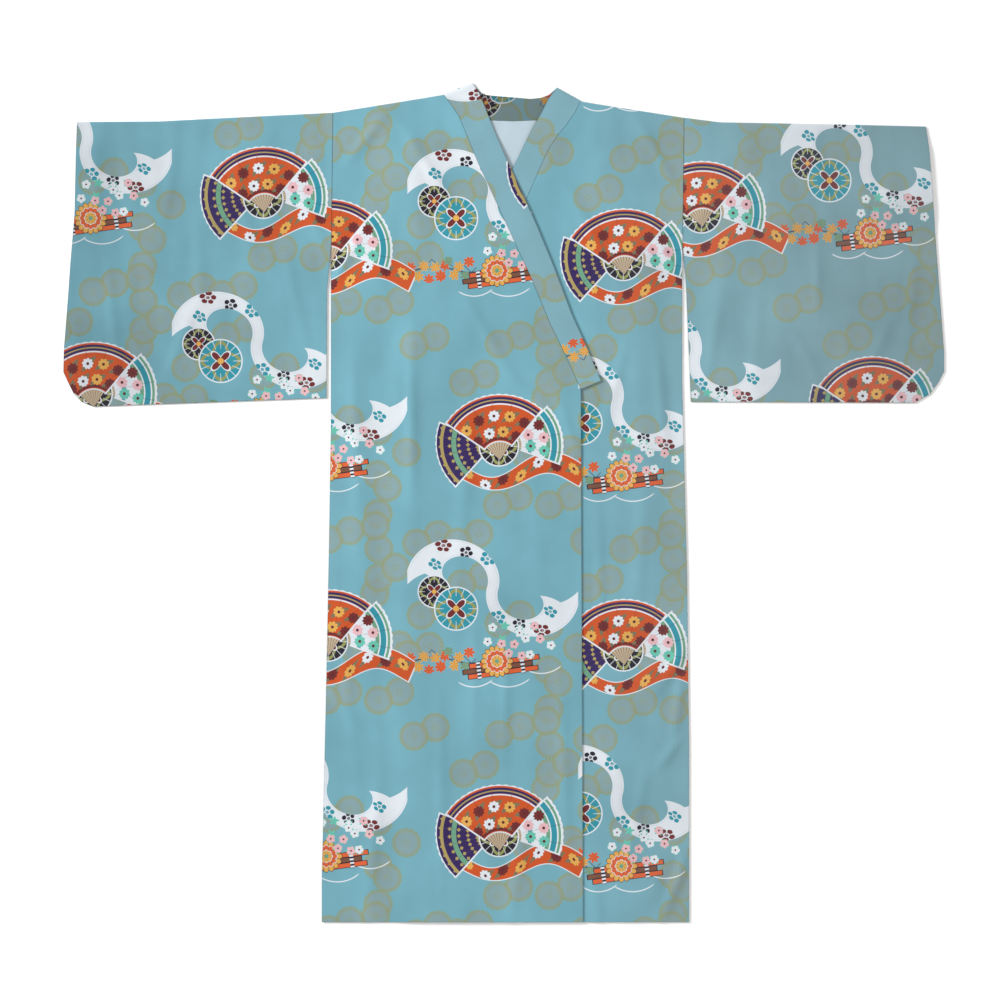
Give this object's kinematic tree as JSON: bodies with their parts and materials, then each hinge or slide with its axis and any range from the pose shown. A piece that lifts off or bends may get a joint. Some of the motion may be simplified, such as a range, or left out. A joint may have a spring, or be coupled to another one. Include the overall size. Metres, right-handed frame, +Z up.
{
  "type": "kimono robe",
  "caption": "Kimono robe laid flat face up: wrapped fronts, wide open-cuff sleeves and a long doubled collar band",
  "frame": {"origin": "middle of the bounding box in plan, on the surface that the robe lies on", "axes": "+X across the garment to the viewer's right (the wearer's left), +Y from the hem to the collar, +Z up from the surface"},
  "size_m": [1.444, 1.376, 0.0065],
  "materials": {
    "back_cloth": "printed plain weave, matt",
    "front_cloth": "printed plain weave, matt",
    "sleeve_cloth": "printed plain weave, matt",
    "collar_cloth": "printed plain weave, matt"
  },
  "bodies": {
    "root": {"back": "back_cloth", "front_under": "front_cloth", "front_over": "front_cloth", "sleeve_right": "sleeve_cloth", "sleeve_left": "sleeve_cloth", "collar": "collar_cloth"}
  },
  "joints": []
}
